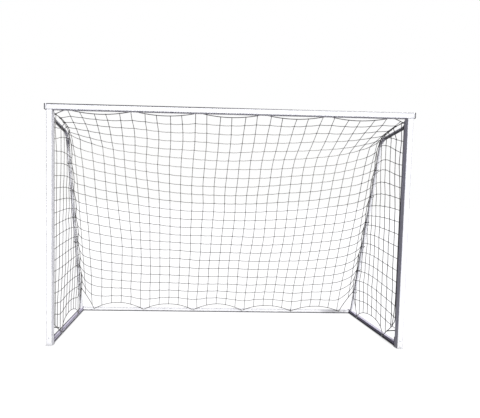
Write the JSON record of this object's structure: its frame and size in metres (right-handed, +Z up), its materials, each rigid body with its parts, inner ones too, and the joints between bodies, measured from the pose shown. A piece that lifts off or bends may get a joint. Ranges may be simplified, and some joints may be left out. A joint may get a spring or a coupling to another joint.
{
  "type": "futsal goal",
  "caption": "Free-standing 3 by 2 m futsal goal: white square-tube mouth, bent tube stays, ground frame and dark grey knotted net on hooks.",
  "frame": {"origin": "on the ground, in the middle of the goal's length and depth", "axes": "+X along the crossbar to the right seen from the pitch, +Y from the mouth to the back, +Z up"},
  "size_m": [3.136, 1.008, 2.05],
  "materials": {
    "white_paint": "satin powder coat",
    "white_plastic": "moulded",
    "zinc_steel": "zinc plated",
    "net_cord": "knotted polyester cord"
  },
  "bodies": {
    "root": {"corner_spigot_left": "zinc_steel", "corner_spigot_right": "zinc_steel", "crossbar": "white_paint", "crossbar_end_cap_left": "white_plastic", "crossbar_end_cap_right": "white_plastic", "crossbar_hook_1": "zinc_steel", "crossbar_hook_2": "zinc_steel", "crossbar_hook_3": "zinc_steel", "crossbar_hook_4": "zinc_steel", "crossbar_hook_5": "zinc_steel", "crossbar_hook_6": "zinc_steel", "elbow_left": "white_paint", "elbow_right": "white_paint", "foot_bolt_left": "zinc_steel", "foot_bolt_right": "zinc_steel", "net_back": "net_cord", "net_left": "net_cord", "net_right": "net_cord", "post_foot_cap_left": "white_plastic", "post_foot_cap_right": "white_plastic", "post_left": "white_paint", "post_right": "white_paint", "rear_bar": "white_paint", "rear_corner_bolt_left": "zinc_steel", "rear_corner_bolt_right": "zinc_steel", "rear_hook_1": "zinc_steel", "rear_hook_2": "zinc_steel", "rear_hook_3": "zinc_steel", "rear_hook_4": "zinc_steel", "rear_hook_5": "zinc_steel", "rear_hook_6": "zinc_steel", "side_bar_end_cap_left": "white_plastic", "side_bar_end_cap_right": "white_plastic", "side_bar_left": "white_paint", "side_bar_right": "white_paint", "side_hook_left_1": "zinc_steel", "side_hook_left_2": "zinc_steel", "side_hook_right_1": "zinc_steel", "side_hook_right_2": "zinc_steel", "strut_bolt_lower_left": "zinc_steel", "strut_bolt_lower_right": "zinc_steel", "strut_bolt_upper_left": "zinc_steel", "strut_bolt_upper_right": "zinc_steel", "strut_left": "white_paint", "strut_right": "white_paint", "upright_left": "white_paint", "upright_right": "white_paint", "upright_spigot_left": "zinc_steel", "upright_spigot_right": "zinc_steel"},
    "snap_button_elbow_left": {"snap_button_elbow_left": "zinc_steel"},
    "snap_button_elbow_right": {"snap_button_elbow_right": "zinc_steel"},
    "snap_button_foot_left": {"snap_button_foot_left": "zinc_steel"},
    "snap_button_foot_right": {"snap_button_foot_right": "zinc_steel"},
    "snap_button_strut_left": {"snap_button_strut_left": "zinc_steel"},
    "snap_button_strut_right": {"snap_button_strut_right": "zinc_steel"}
  },
  "joints": [
    {"name": "snap_button_elbow_left_press", "type": "slide", "parent": "root", "child": "snap_button_elbow_left", "axis": [1, 0, 0], "range_m": [0, 0.005], "stiffness_N_per_m": 3000, "springref_m": -0.0015},
    {"name": "snap_button_elbow_right_press", "type": "slide", "parent": "root", "child": "snap_button_elbow_right", "axis": [-1, 0, 0], "range_m": [0, 0.005], "stiffness_N_per_m": 3000, "springref_m": -0.0015},
    {"name": "snap_button_foot_left_press", "type": "slide", "parent": "root", "child": "snap_button_foot_left", "axis": [1, 0, 0], "range_m": [0, 0.005], "stiffness_N_per_m": 3000, "springref_m": -0.0015},
    {"name": "snap_button_foot_right_press", "type": "slide", "parent": "root", "child": "snap_button_foot_right", "axis": [-1, 0, 0], "range_m": [0, 0.005], "stiffness_N_per_m": 3000, "springref_m": -0.0015},
    {"name": "snap_button_strut_left_press", "type": "slide", "parent": "root", "child": "snap_button_strut_left", "axis": [1, 0, 0], "range_m": [0, 0.005], "stiffness_N_per_m": 3000, "springref_m": -0.0015},
    {"name": "snap_button_strut_right_press", "type": "slide", "parent": "root", "child": "snap_button_strut_right", "axis": [-1, 0, 0], "range_m": [0, 0.005], "stiffness_N_per_m": 3000, "springref_m": -0.0015}
  ]
}
